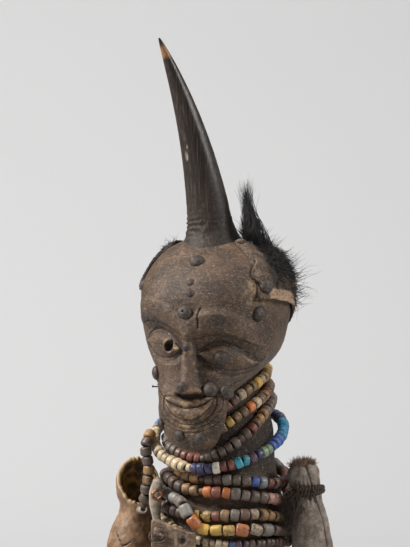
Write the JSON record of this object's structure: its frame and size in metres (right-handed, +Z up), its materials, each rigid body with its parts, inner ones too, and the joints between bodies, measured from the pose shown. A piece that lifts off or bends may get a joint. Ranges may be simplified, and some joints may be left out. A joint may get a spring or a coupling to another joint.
{
  "type": "power figure bust",
  "caption": "Carved wooden power figure as a bust with a horn in its crown, a fur hide, iron tacks, bead strands, a gourd and a hide bundle.",
  "frame": {"origin": "middle of the flat underside, on the axis of the neck", "axes": "+Z up, and the face looks along -Y, so +X is on its left-hand side"},
  "size_m": [0.1671, 0.1349, 0.3832],
  "materials": {
    "wood": "dark carved hardwood with an old satin patina, ochre at worn edges",
    "horn": "natural antelope horn, dark brown and satin, amber near its tip",
    "fur_hide": "stiff rawhide with dense dark fur",
    "iron": "dark domed tacks, worn and slightly rusty",
    "gourd_shell": "dry tan calabash shell, cracked",
    "old_leather": "grey-brown dusty old leather",
    "fibre": "coarse brown plant fibre",
    "bone": "aged bone, grey with pale edges",
    "copper": "dull copper",
    "yellow_beads": "opaque yellow, ochre and red beads with dust",
    "grey_beads": "opaque grey, brown and yellow beads with dust",
    "cream_beads": "opaque cream and blue beads with dust",
    "brown_beads": "opaque brown, red and orange beads with dust"
  },
  "bodies": {
    "root": {"figure_bust": "wood", "crown_horn": "horn", "fur_scalp_hide": "fur_hide", "tack_crown": "iron", "tack_forehead_upper": "iron", "tack_forehead_lower": "iron", "tack_brow_middle": "iron", "tack_temple": "iron", "tack_far_temple": "iron", "tack_nose_bridge": "iron", "tack_eye": "iron", "tack_nose_tip": "iron", "tack_cheek_inner": "iron", "tack_cheek_outer": "iron", "tack_far_cheek": "iron", "tack_far_jaw": "iron", "tack_chin_far": "iron", "tack_chin_near": "iron", "tack_hide_edge": "iron", "cheek_nail": "iron", "gourd": "gourd_shell", "hide_bundle": "old_leather", "bundle_fibre_tuft": "fibre", "bundle_cord": "fibre", "bone_pendant": "bone", "copper_ring": "copper", "wooden_pendant": "wood", "gourd_bone_peg": "bone", "strand_yellow_upper": "yellow_beads", "strand_yellow_lower": "yellow_beads", "strand_grey_disc": "grey_beads", "strand_cream_and_blue": "cream_beads", "strand_grey_brown": "grey_beads", "strand_orange_and_brown": "brown_beads", "strand_ochre_and_red": "brown_beads", "strand_grey_and_yellow": "grey_beads", "strand_cream_disc": "cream_beads", "gourd_bead_string": "brown_beads"}
  },
  "joints": []
}
